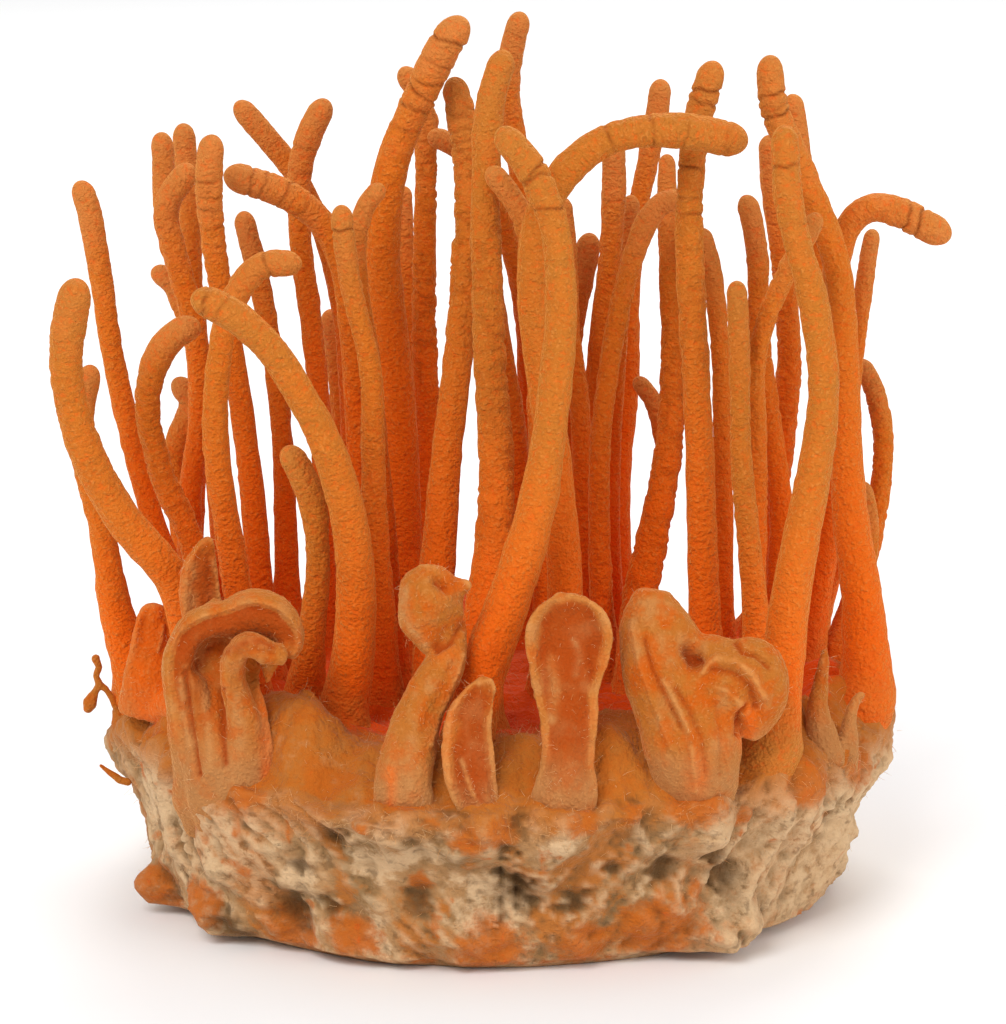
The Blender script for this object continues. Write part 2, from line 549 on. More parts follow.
# The cake
cake = dict(around=440, bottomRows=8, sideRows=92, topRows=56, height=20.0, edgeRound=2.4, lump=0.75, crumb=0.13,
            foot=1.7, footReach=2.6, frontRise=1.5, swell=1.5, flow=0.8, sideBulge=0.8, collar=0.35)
strands = [  # ridges that run down the side, as seen
    [(862, 742), (852, 780), (836, 812)], [(850, 738), (842, 775), (826, 815)], [(838, 745), (832, 780), (820, 806)],
    [(196, 790), (188, 820), (196, 850)], [(172, 760), (164, 800), (178, 850)], [(250, 800), (262, 822), (290, 845)],
    [(640, 785), (634, 820), (646, 850)], [(780, 800), (765, 850), (735, 900)], [(800, 805), (790, 850), (762, 905)],
    [(740, 810), (725, 850), (700, 880)], [(300, 800), (318, 815), (352, 842)], [(395, 800), (384, 830), (392, 862)]]
roots = [  # where the growths run on down into the side, as seen
    [(252, 785), (258, 815), (268, 842)], [(214, 800), (212, 835), (220, 870)], [(405, 805), (404, 835)],
    [(484, 815), (492, 842)], [(562, 812), (560, 838)], [(702, 800), (706, 835)]]
pits = [  # column, row, radius and depth of the dark holes in the side, as seen
    (330, 832, 1.5, 0.9), (290, 907, 2.2, 0.9), (244, 925, 1.8, 0.8), (522, 886, 2.3, 1.5), (502, 852, 0.9, 0.7),
    (725, 875, 1.6, 0.9), (709, 853, 0.9, 0.7), (662, 868, 1.4, 0.8), (574, 900, 1.8, 0.8), (420, 905, 1.4, 0.6),
    (335, 905, 1.3, 0.6), (300, 862, 1.2, 0.5), (610, 868, 1.0, 0.5)]
stains = [  # column, row and radius of the orange patches, as seen
    (290, 933, 3.4), (352, 934, 3.0), (490, 951, 4.0), (578, 945, 3.0), (657, 928, 4.6), (716, 942, 1.6), (820, 898, 2.4),
    (692, 890, 1.0), (362, 824, 1.2), (631, 812, 1.6), (240, 790, 3.0), (208, 812, 2.2), (160, 890, 3.0), (205, 905, 3.2),
    (470, 838, 2.2), (500, 828, 2.2), (580, 820, 1.8), (690, 800, 3.0), (800, 780, 3.2), (118, 720, 2.0), (735, 815, 1.6),
    (435, 815, 1.6), (380, 775, 1.5), (850, 760, 3.5), (860, 790, 1.5), (420, 880, 1.2), (250, 870, 1.0), (140, 770, 1.4)]
grains = [  # column, row, radius and height of the swollen grains that stand out, as seen
    (152, 892, 2.0, 1.6), (206, 902, 2.2, 1.3), (235, 925, 2.4, 2.2), (722, 930, 3.4, 3.0), (690, 940, 2.6, 2.0), (362, 824, 0.9, 0.6), (631, 812, 1.1, 0.7), (692, 890, 0.9, 0.6),
    (484, 820, 3.2, 1.3), (564, 822, 3.8, 1.5), (698, 814, 4.4, 1.7), (226, 826, 4.4, 1.6), (405, 818, 3.8, 1.5), (700, 925, 1.4, 0.7),
    (640, 925, 1.6, 0.7), (585, 950, 1.2, 0.6), (808, 772, 2.4, 2.0), (125, 720, 2.2, 0.9)]
mounds = [  # column on the top, depth, radius and height of the swollen places between the feet
    (150, 2, 3.2, 5.5), (148, -8, 3.6, 3.0), (820, -2, 3.0, 3.5), (500, 33, 9.0, 3.0), (640, 30, 8.0, 3.0),
    (350, 31, 8.0, 2.6), (700, 8, 7.0, 2.2), (250, 10, 6.0, 2.4), (440, 10, 8.0, 1.6),
    (285, -25, 4.2, 4.6), (262, -21, 3.5, 3.0), (320, -27, 3.5, 2.6), (420, -32, 3.5, 2.6), (525, -31, 4.0, 3.2),
    (612, -31, 3.6, 3.8), (590, -26, 3.0, 2.6), (645, -26, 4.0, 3.4), (765, -24, 3.6, 3.0), (806, -19, 3.2, 3.6),
    (180, -18, 3.5, 2.6), (830, -10, 3.5, 3.0)]


def growCake():
    solid = mergedCopy("grain_cake")
    tree = BVHTree.FromBMesh(solid)
    solid.free()

    def onSide(column, row):  # where the line of sight meets the solid, in mm
        hit = tree.ray_cast(eye * mm, rayThrough(column, row).normalized())[0]
        return np.array(hit) / mm if hit else None

    bm = bmesh.new()
    rows = cake["bottomRows"] + cake["sideRows"] + cake["topRows"]
    bmesh.ops.create_uvsphere(bm, u_segments=cake["around"], v_segments=rows, radius=1)
    mesh = bpy.data.meshes.new("mattedCake")
    bm.to_mesh(mesh)
    bm.free()
    ball = placesOf(mesh) * mm
    level = np.rint(np.arccos(np.clip(-ball[:, 2], -1, 1)) / math.pi * rows).astype(int)
    angle = np.arctan2(ball[:, 1], ball[:, 0])
    up = np.clip((level - cake["bottomRows"]) / cake["sideRows"], 0, 1)
    height = up * cake["height"]
    inward = np.clip((level - cake["bottomRows"] - cake["sideRows"]) / cake["topRows"], 0, 1)
    under = np.clip(level / cake["bottomRows"], 0, 1)

    wall = {}
    for angleHere, heightHere in {(round(a, 5), round(h, 4)) for a, h in zip(angle, height)}:
        way = Vector((math.cos(angleHere), math.sin(angleHere), 0))
        looked = min(max(heightHere, 0.02), cake["height"] - 0.02)
        wall[angleHere, heightHere] = tree.ray_cast(Vector((0, 0, looked * mm)), way)[3] / mm
    radius = np.array([wall[round(a, 5), round(h, 4)] for a, h in zip(angle, height)])
    radius *= (1 - inward) * under
    places = np.column_stack([np.cos(angle) * radius, np.sin(angle) * radius, height])
    outward = np.column_stack([np.cos(angle), np.sin(angle), np.zeros(len(angle))])

    onTop = (inward > 0) | (up >= 1)
    onWall = (up > 0) & ~onTop
    fromRim = np.where(onTop, inward * 38.5, 0)
    places[:, 2] -= np.where(onTop, cake["edgeRound"] * np.exp(-fromRim / 3.2), 0)
    places[:, 2] -= np.where(onWall, cake["edgeRound"] * eased(up, 0.72, 1.0), 0)
    places -= outward * np.where(onTop | onWall, 0.8 * eased(up, 0.66, 1.0) * np.exp(-fromRim / 4), 0)[:, None]

    # lumps and crumb of the side; the underside stays flat
    lumps = layeredNoise(places, 3.6, 3)
    creased = np.abs(smoothNoise(places, 2.3, 8))
    fine = smoothNoise(places, 0.8, 12)
    relief = cake["lump"] * lumps + 0.35 * (creased - 0.35) + cake["crumb"] * fine
    lean = 0.75 * np.sign(places[:, 0]) * (height - 10)  # folds that run down and towards the middle
    flow = np.column_stack([(angle * 38 - lean) / 1.5, (height + 0.3 * lean) / 6, 0 * height])
    folds = np.abs(layeredNoise(flow + 0.35 * smoothNoise(places, 4.0, 19)[:, None], 1.0, 18, 2))
    relief += cake["flow"] * (0.28 - np.clip(folds, 0, 0.7))
    pit, stain, bulge = (np.zeros(len(places)) for _ in range(3))
    for column, row, reach, deep in pits:
        centre = onSide(column, row)
        apart = np.linalg.norm((places - centre) * (1, 1, 0.9), axis=1) + 0.9 * fine + 1.0 * lumps + 1.0 * folds
        dip = np.exp(-(np.clip(apart, 0, None) / reach) ** 3)
        bulge -= deep * dip
        pit = np.maximum(pit, dip * min(1, 0.55 + deep * 0.3))
    for column, row, reach in stains:
        centre = onSide(column, row)
        if centre is None:
            continue
        apart = np.linalg.norm(places - centre, axis=1) + 0.8 * lumps
        stain = np.maximum(stain, np.exp(-(apart / reach) ** 4))
    for column, row, reach, tall in grains:
        centre = onSide(column, row)
        if centre is None:
            continue
        apart = np.linalg.norm((places - centre) * (1, 1, 0.9), axis=1)
        bulge += tall * np.exp(-(apart / reach) ** 4)
    for foot in feet:
        apart = np.linalg.norm((places - foot - (0, 0, -2.5)) * (1, 1, 0.55), axis=1)
        bulge += cake["swell"] * np.exp(-(apart / 3.0) ** 2)
    for strand in strands:
        bulge += 0.9 * strokeOn(places, outward, strand, 3.5)
    for root in roots:
        bulge += 1.1 * strokeOn(places, outward, root, 15)
    bulge += cake["sideBulge"] * np.exp(-((angle + 0.35) / 0.55) ** 2 - ((places[:, 2] - 14) / 3.2) ** 2)
    calm = eased(places[:, 2], 0.0, 1.2)
    places += outward * ((relief + bulge) * np.where(onWall | (up >= 1), calm, 0))[:, None]

    # the rim wraps every foot that would stand out of it
    collar = np.zeros(len(places))
    for foot, reach in zip(feet, footReaches):
        outside = eased(math.hypot(foot[0] / 39, foot[1] / 38.2), 0.80, 0.94)
        down = np.clip(foot[2] - places[:, 2], 0, 12)
        middle = foot[:2] * (1 - outside * np.interp(down, (0, 3, 8.8), (0, 0.03, 0.16)))[:, None]
        off = places[:, :2] - middle
        ahead = (off * outward[:, :2]).sum(1)
        kept = reach + cake["collar"] - 0.25 * down + 0.3 * lumps
        within = ahead ** 2 - (off ** 2).sum(1) + kept ** 2
        push = np.where((within > 0) & (ahead > -kept), np.sqrt(within.clip(0)) - ahead, 0).clip(0)
        places += outward * (push * outside * (onWall | (fromRim < 2.5)) * eased(down, 11, 6))[:, None]
        collar = np.maximum(collar, outside * eased(within, -4, 6) * eased(down, 6, 2.5))

    # the top: felted, drawn up round every foot
    lift = np.zeros(len(places))
    for foot in feet:
        apart = np.linalg.norm(places[:, :2] - foot[:2], axis=1)
        lift = np.maximum(lift, cake["foot"] * np.exp(-(apart / cake["footReach"]) ** 2))
    for column, depth, reach, tall in mounds:
        place = np.array([(column - 495) / 10 * (1 + depth / 450), depth])
        apart = np.linalg.norm(places[:, :2] - place, axis=1) + 0.6 * lumps
        lift += tall * np.exp(-(apart / reach) ** 2)
    nearRim = eased(fromRim, 0.0, 3.0)
    front = eased(-places[:, 1], 16, 27) * eased(fromRim, -1.0, 4.5)
    lift = np.maximum(lift, cake["frontRise"] * front * (0.75 + 0.6 * layeredNoise(places, 6.0, 44)))
    lift = lift * (0.3 + 0.7 * nearRim) + 0.9 * lumps + 0.8 * (creased - 0.3) + 0.25 * fine
    lift += 0.6 * front * layeredNoise(places, 2.6, 61)
    places[:, 2] += np.where(onTop, lift, eased(up, 0.86, 1.0) * lift * 0.8)
    places[:, 2] += cake["edgeRound"] * collar * np.where(onTop, np.exp(-fromRim / 3.0), eased(up, 0.7, 1.0))
    places[:, 2] = np.where(under < 1, 0, places[:, 2].clip(0))
    movePlaces(mesh, places)

    out = standingOut(mesh, 3)
    valley = eased(-out, 0.0, 0.10) * onWall
    pit = np.maximum(pit, 0.7 * valley * eased(smoothNoise(places, 5.0, 81), -0.2, 0.6))
    inside = eased(places[:, 1] + 3 * lumps, -28, -15) * eased(fromRim + 2 * lumps, 0.5, 6.0)
    topStain = np.where(onTop, 0.40 + 1.25 * inside + 0.5 * eased(smoothNoise(places, 3.0, 71), 0.0, 0.8), 0.0)
    lowStain = 0.45 * eased(places[:, 2], 3.6, 0.6)
    specks = 0.62 * eased(smoothNoise(places, 1.7, 52), 0.55, 0.8) * onWall
    paint(mesh, "stain", np.maximum.reduce([stain * 0.9, topStain, lowStain, specks]))
    paint(mesh, "velvet", np.where(onTop, 1.0, eased(places[:, 2] + 1.5 * lumps, 13.5, 19.0)))
    paint(mesh, "pit", np.clip(pit * (1 - 0.8 * onTop), 0, 1))
    paint(mesh, "ridge", eased(out, 0.0, 0.08) * onWall)
    paint(mesh, "valley", valley)
    leftFront = eased(-places[:, 0], 15, 27) * eased(-places[:, 1], 4, 18) * eased(places[:, 2], 4, 9)
    paint(mesh, "pale", np.maximum(eased(places[:, 0], 14, 30), 0.9 * leftFront) * onWall)
    return asPiece("mattedCake", mesh, cakeMaterial, ["grain_cake"])


cakePiece = growCake()
print("cake done")

# The malformed growths at the front rim. An arm is a row of sections from its foot up, as seen: column,
# row, depth, half width, half depth, and how deep it is hollowed; "faces" is the side of the hollow in degrees.
# A stroke raises or sinks a line of the surface, reach in picture points, and tints it
lobes = {
    "curled_fold": dict(arms=[
        dict(faces=305, sections=[
            (214, 832, -22.5, 2.8, 1.2, 0), (212, 800, -24.9, 3.8, 1.9, 0), (208, 765, -26.4, 3.5, 1.9, 0),
            (200, 730, -27.0, 3.1, 1.9, 0.3), (190, 695, -27.0, 2.5, 1.9, 0.6), (184, 664, -27.0, 2.0, 2.0, 0.8),
            (190, 641, -27.0, 2.0, 2.2, 1.0), (207, 628, -27.0, 2.1, 2.4, 1.2), (232, 624, -27.2, 2.5, 2.6, 1.3),
            (258, 619, -27.4, 3.0, 2.8, 1.5), (279, 627, -27.4, 2.4, 2.6, 1.3), (289, 643, -27.6, 1.5, 2.0, 0.6),
            (284, 655, -28.2, 0.9, 1.2, 0)]),
        dict(faces=270, sections=[
            (236, 835, -24.6, 3.4, 1.3, 0), (233, 800, -27.0, 4.4, 1.9, 0), (230, 760, -27.9, 4.5, 1.9, 0),
            (227, 720, -27.4, 3.9, 1.6, 0.2), (223, 685, -26.2, 3.4, 1.2, 0.3), (224, 655, -25.2, 3.8, 0.9, 0.2),
            (236, 632, -24.8, 4.2, 0.7, 0), (246, 618, -24.8, 3.6, 0.6, 0)]),
        dict(faces=315, sections=[
            (252, 805, -25.8, 1.6, 1.2, 0), (251, 770, -28.0, 1.9, 1.5, 0), (247, 738, -28.6, 1.7, 1.5, 0.1),
            (240, 706, -28.8, 1.5, 1.5, 0.1), (234, 678, -29.4, 1.3, 1.6, 0.2), (236, 658, -30.0, 1.3, 1.7, 0.3),
            (248, 645, -30.6, 1.3, 1.8, 0.3), (266, 652, -31.0, 1.4, 1.6, 0.2), (284, 655, -30.4, 1.0, 1.1, 0)]),
        dict(faces=270, sections=[
            (270, 650, -27.0, 1.2, 0.9, 0), (269, 668, -27.2, 0.8, 0.6, 0), (266, 684, -27.4, 0.25, 0.25, 0)])],
        strokes=[
            dict(line=[(200, 640), (235, 633), (265, 625), (284, 640)], reach=14, hollow=0.45, clean=1),
            dict(line=[(222, 652), (250, 640), (272, 646)], reach=6, hollow=1.0, clean=1),
            dict(line=[(196, 668), (205, 650), (222, 640)], reach=7, hollow=0.9, rise=-0.3),
            dict(line=[(186, 672), (189, 700), (193, 735), (200, 775)], reach=2.6, rise=-0.45, hollow=0.35),
            dict(line=[(180, 680), (184, 715), (190, 745)], reach=4, rise=0.2, fuzz=0.8),
            dict(line=[(222, 690), (222, 725), (226, 765)], reach=3.2, rise=-0.5, hollow=0.5),
            dict(line=[(205, 680), (207, 720), (212, 770)], reach=5, rise=0.25, fuzz=0.6),
            dict(line=[(226, 650), (240, 640), (254, 639)], reach=3.5, rim=0.7),
            dict(line=[(262, 690), (266, 730), (268, 790)], reach=6, vivid=0.8),
            dict(line=[(236, 700), (238, 740), (232, 780)], reach=9, fuzz=0.7),
            dict(line=[(238, 655), (255, 650), (275, 655)], reach=3, rise=-0.2, hollow=0.4)]),
    "torn_lobe": dict(arms=[
        dict(faces=300, sections=[
            (212, 700, -20.0, 2.2, 1.2, 0), (208, 655, -20.0, 2.2, 1.2, 0.3), (203, 618, -20.2, 2.1, 1.3, 0.9),
            (200, 590, -20.4, 2.0, 1.3, 1.2), (201, 566, -20.6, 1.7, 1.2, 1.0), (206, 546, -20.8, 1.0, 0.8, 0.4),
            (210, 537, -20.8, 0.4, 0.4, 0)]),
        dict(faces=285, sections=[
            (152, 712, -13.0, 3.4, 1.8, 0), (153, 680, -14.0, 3.0, 1.6, 0), (154, 650, -14.4, 2.4, 1.4, 0.5),
            (154, 628, -14.6, 2.1, 1.3, 0.7), (154, 612, -14.6, 1.5, 1.0, 0.3), (154, 604, -14.6, 0.6, 0.5, 0)]),
        dict(faces=270, sections=[
            (150, 708, -13.6, 1.6, 1.2, 0), (180, 706, -16.6, 1.8, 1.4, 0), (212, 704, -19.8, 1.6, 1.2, 0)])],
        strokes=[
            dict(line=[(190, 566), (188, 590), (194, 612)], reach=6, fuzz=1.0, rim=0.6, clear=1),
            dict(line=[(206, 556), (208, 580), (207, 606)], reach=5, hollow=1.0),
            dict(line=[(212, 560), (217, 580), (219, 600)], reach=2.5, rim=0.8, rise=0.15),
            dict(line=[(163, 626), (161, 640), (158, 650)], reach=2.5, rise=0.3),
            dict(line=[(153, 604), (153, 650), (150, 700)], reach=34, clear=0.6, clean=1, vivid=1.2),
            dict(line=[(150, 622), (150, 640), (152, 652)], reach=7, hollow=0.3)]),
    "dented_knob": dict(arms=[
        dict(faces=285, sections=[
            (406, 835, -33.0, 2.0, 1.2, 0), (405, 808, -35.2, 2.9, 1.8, 0), (404, 782, -36.0, 2.7, 1.8, 0),
            (409, 752, -35.0, 2.5, 2.0, 0), (417, 718, -33.0, 2.3, 2.0, 0), (432, 688, -32.0, 2.1, 2.0, 0),
            (447, 662, -31.0, 1.8, 1.8, 0), (452, 644, -30.0, 1.5, 1.6, 0), (450, 622, -29.4, 1.5, 1.5, 0)]),
        dict(faces=285, sections=[
            (433, 652, -30.6, 0.6, 0.6, 0), (428, 640, -30.6, 1.5, 1.3, 0), (424, 622, -30.4, 2.3, 2.0, 0),
            (428, 602, -30.2, 2.8, 2.5, 0), (430, 585, -30.0, 2.8, 2.4, 0), (431, 573, -29.8, 2.1, 1.8, 0),
            (431, 566, -29.6, 1.0, 1.0, 0)]),
        dict(faces=270, sections=[
            (436, 616, -29.8, 2.2, 2.0, 0), (445, 600, -29.8, 2.2, 1.9, 0), (455, 590, -29.8, 1.3, 1.3, 0),
            (470, 585, -30.2, 0.4, 0.4, 0)])],
        strokes=[
            dict(line=[(438, 582), (446, 588)], reach=6, rise=-0.9, hollow=0.6),
            dict(line=[(404, 590), (405, 612), (412, 630), (425, 644)], reach=5, fuzz=1.0, rim=0.4),
            dict(line=[(420, 566), (440, 569), (456, 577), (470, 585)], reach=3, rim=0.7, rise=0.15),
            dict(line=[(436, 650), (452, 640), (464, 625)], reach=4, rise=-0.5, hollow=0.4),
            dict(line=[(462, 655), (450, 690), (438, 715), (430, 745)], reach=3, rise=0.35, rim=0.35),
            dict(line=[(452, 665), (438, 695), (424, 730)], reach=5, rise=-0.2),
            dict(line=[(395, 720), (390, 750), (388, 785)], reach=4, rise=0.1, rim=0.3),
            dict(line=[(412, 740), (410, 770), (410, 800)], reach=6, fuzz=0.6),
            dict(line=[(390, 770), (392, 800), (384, 815)], reach=5, vivid=0.8),
            dict(line=[(440, 655), (452, 650)], reach=10, vivid=0.5)]),
    "hollow_tongue": dict(arms=[
        dict(faces=280, sections=[
            (486, 838, -34.6, 1.2, 0.9, 0), (480, 812, -36.7, 2.0, 1.3, 0.2), (472, 782, -37.2, 2.4, 1.4, 0.8),
            (468, 752, -37.0, 2.5, 1.5, 1.3), (469, 722, -35.8, 2.2, 1.5, 1.4), (477, 700, -35.2, 1.7, 1.2, 1.1),
            (485, 685, -35.0, 1.1, 0.8, 0.5), (488, 677, -34.9, 0.5, 0.5, 0)])],
        strokes=[
            dict(line=[(455, 725), (448, 750), (450, 780)], reach=6, clear=0.8, rise=0.2),
            dict(line=[(478, 705), (472, 735), (470, 770), (478, 800)], reach=7, hollow=1.0),
            dict(line=[(479, 684), (490, 680), (497, 695), (493, 720)], reach=3, rim=0.9, rise=0.2),
            dict(line=[(462, 760), (470, 785), (480, 808)], reach=3, rise=0.3, fuzz=0.4),
            dict(line=[(484, 770), (486, 800)], reach=4, rise=0.3),
            dict(line=[(452, 700), (444, 730), (440, 760)], reach=7, vivid=0.5)]),
    "spoon_lobe": dict(arms=[
        dict(faces=270, sections=[
            (560, 838, -33.4, 2.4, 1.2, 0), (562, 812, -35.6, 3.3, 1.8, 0), (566, 785, -36.6, 2.9, 1.8, 0.2),
            (568, 758, -36.4, 2.5, 1.7, 0.6), (569, 722, -35.2, 2.7, 1.9, 1.2), (566, 690, -34.6, 3.1, 2.0, 1.6),
            (568, 662, -34.4, 3.8, 2.3, 2.3), (569, 636, -34.3, 4.2, 2.4, 2.8), (570, 614, -34.2, 3.6, 2.1, 2.3),
            (571, 600, -34.1, 2.2, 1.5, 0.9), (572, 593, -34.0, 0.9, 0.8, 0)])],
        strokes=[
            dict(line=[(566, 612), (568, 640), (564, 665)], reach=22, hollow=1.0),
            dict(line=[(566, 680), (568, 715), (570, 748)], reach=15, hollow=0.85),
            dict(line=[(534, 645), (537, 620), (552, 601), (572, 596), (592, 602), (606, 622), (608, 645), (601, 662)],
                 reach=4.5, rim=1.0, clear=1),
            dict(line=[(552, 660), (556, 690), (552, 720)], reach=5, fuzz=0.7, clear=0.6),
            dict(line=[(585, 672), (590, 705), (588, 745)], reach=4, rise=0.2, rim=0.4),
            dict(line=[(548, 690), (547, 725), (548, 760)], reach=4, rise=0.2, rim=0.3),
            dict(line=[(552, 780), (560, 805)], reach=8, fuzz=0.6),
            dict(line=[(575, 640), (580, 655), (576, 672)], reach=4, fuzz=0.8)]),
    "folded_lobe": dict(arms=[
        dict(faces=270, sections=[
            (700, 828, -27.6, 2.2, 1.2, 0), (699, 804, -30.4, 3.4, 1.9, 0), (697, 780, -32.0, 4.0, 2.4, 0),
            (693, 745, -33.0, 4.6, 2.9, 0), (683, 705, -31.6, 4.8, 3.0, 0), (667, 665, -31.0, 4.4, 2.9, 0),
            (656, 628, -30.5, 3.6, 2.6, 0), (654, 604, -30.2, 2.6, 2.1, 0), (655, 590, -30.0, 1.3, 1.2, 0)]),
        dict(faces=270, sections=[
            (686, 672, -30.6, 2.4, 2.2, 0), (706, 664, -31.2, 2.8, 2.5, 0), (728, 667, -31.8, 2.6, 2.6, 0),
            (752, 672, -32.0, 3.3, 2.6, 0), (762, 694, -31.8, 2.5, 2.2, 0), (754, 720, -31.4, 1.9, 1.7, 0),
            (748, 736, -31.2, 1.0, 1.0, 0)]),
        dict(faces=270, sections=[
            (700, 690, -31.6, 2.4, 2.2, 0), (722, 694, -32.2, 2.6, 2.3, 0), (742, 702, -32.2, 2.2, 2.0, 0),
            (750, 716, -31.8, 1.3, 1.3, 0)])],
        strokes=[
            dict(line=[(690, 652), (696, 662)], reach=8, rise=-1.5, hollow=0.9),
            dict(line=[(700, 672), (716, 659), (735, 661), (752, 673), (764, 694)], reach=5, rise=0.45, rim=0.2),
            dict(line=[(712, 670), (734, 674), (750, 688), (756, 708)], reach=4.5, rise=-0.5, hollow=0.3),
            dict(line=[(735, 642), (742, 652), (756, 656), (770, 668)], reach=3.2, rise=-0.5, hollow=0.3),
            dict(line=[(704, 684), (726, 690), (742, 704)], reach=4, rise=0.35),
            dict(line=[(738, 735), (738, 715), (746, 705)], reach=3.5, rise=-0.5, hollow=0.6),
            dict(line=[(644, 640), (652, 672), (668, 702), (690, 742)], reach=2.8, rise=-0.4, hollow=0.15),
            dict(line=[(632, 625), (640, 665), (654, 705), (672, 750)], reach=3.2, rise=0.25),
            dict(line=[(676, 690), (690, 712), (702, 740), (706, 775)], reach=3.2, rise=-0.35, hollow=0.12),
            dict(line=[(664, 680), (680, 712), (692, 750), (696, 790)], reach=3.4, rise=0.3, fuzz=0.4),
            dict(line=[(716, 705), (722, 740), (720, 775)], reach=4, rise=-0.3),
            dict(line=[(676, 768), (690, 792), (710, 795), (730, 770)], reach=4, rise=0.1, rim=0.35),
            dict(line=[(660, 640), (668, 660)], reach=8, fuzz=0.5),
            dict(line=[(748, 710), (752, 728), (745, 738)], reach=9, vivid=0.9),
            dict(line=[(700, 765), (696, 790)], reach=12, vivid=0.5),
            dict(line=[(640, 600), (632, 625), (640, 660)], reach=6, fuzz=0.6)]),
    "rim_spikes": dict(arms=[
        dict(faces=270, sections=[
            (822, 790, -18.0, 1.4, 1.0, 0), (824, 765, -20.4, 2.2, 1.4, 0), (821, 738, -20.8, 1.7, 1.2, 0),
            (818, 712, -20.8, 1.2, 0.9, 0), (820, 690, -20.4, 0.9, 0.7, 0), (823, 668, -20.2, 0.7, 0.5, 0),
            (825, 648, -20.1, 0.35, 0.3, 0)]),
        dict(faces=270, sections=[
            (846, 780, -18.0, 1.0, 0.8, 0), (848, 750, -19.4, 1.1, 0.9, 0), (850, 718, -19.4, 0.7, 0.6, 0),
            (856, 700, -19.4, 0.6, 0.5, 0), (865, 693, -19.3, 0.4, 0.4, 0)])],
        strokes=[
            dict(line=[(822, 660), (820, 700), (824, 760)], reach=3, rim=0.5),
            dict(line=[(858, 698), (850, 720), (848, 750)], reach=3, rim=0.4)]),
}
lobeLook = dict(sides=40, rings=90, voxel=0.2, unevenness=0.2, grain=0.05, wall=0.8)


def growArm(arm):
    table = np.array(arm["sections"], dtype=float)
    middles = np.array([seenAt(*row[:3]) for row in arm["sections"]])
    padded = np.vstack([2 * middles[0] - middles[1], middles, 2 * middles[-1] - middles[-2]])
    knots = np.concatenate([[0], np.cumsum(np.linalg.norm(np.diff(middles, axis=0), axis=1))])
    steps = np.linspace(0, knots[-1], lobeLook["rings"])
    shape = [np.interp(steps, knots, table[:, i]) for i in (3, 4, 5)]
    centre = []
    for step in steps:
        i = min(np.searchsorted(knots, step, side="right") - 1, len(middles) - 2)
        t = (step - knots[i]) / (knots[i + 1] - knots[i])
        before, start, end, after = padded[i:i + 4]
        centre.append(0.5 * (2 * start + (end - before) * t + (2 * before - 5 * start + 4 * end - after) * t ** 2
                             + (3 * start - before - 3 * end + after) * t ** 3))
    centre = np.array(centre)
    heading = np.gradient(centre, axis=0)
    window = np.hanning(11) / np.hanning(11).sum()
    shape = [np.convolve(np.pad(values, 5, mode="edge"), window, mode="valid") for values in shape]
    bm = roundBar(lobeLook["sides"], lobeLook["rings"])
    cup, lip = [], []
    for vertex in bm.verts:
        i = round((vertex.co.z + 0.5) * (lobeLook["rings"] - 1))
        angle = math.atan2(vertex.co.y, vertex.co.x)
        way = Vector(heading[i]).normalized()
        across = Vector((0, 1, 0)).cross(way).normalized()
        behind = way.cross(across).normalized()
        facing = max(0.0, math.cos(angle - math.radians(arm["faces"])))
        room = max(0.0, 2 * shape[1][i] * facing - lobeLook["wall"])
        push = min(shape[2][i] * float(eased(facing, 0.0, 0.62)), room)
        cup.append(float(eased(facing, 0.22, 0.6)) * min(1.0, shape[2][i] / 0.9))
        lip.append(float(eased(abs(facing - 0.22), 0.3, 0.05)) * min(1.0, shape[2][i] / 0.7))
        side = Vector((math.cos(math.radians(arm["faces"])), math.sin(math.radians(arm["faces"]))))
        place = Vector((math.cos(angle) * shape[0][i], math.sin(angle) * shape[1][i]))
        alongRim = Vector((-side.y, side.x))
        halfRim = math.hypot(shape[0][i] * alongRim.x, shape[1][i] * alongRim.y)
        narrowed = min(0.45, 0.8 * lobeLook["wall"] / halfRim) * min(1.0, push / 0.5)
        place -= side * push + alongRim * (place.dot(alongRim) * narrowed)
        vertex.co = (Vector(centre[i]) + across * place.x + behind * place.y) * mm
    bmesh.ops.recalc_face_normals(bm, faces=bm.faces)
    mesh = bpy.data.meshes.new("arm")
    bm.to_mesh(mesh)
    bm.free()
    return mesh, cup, lip


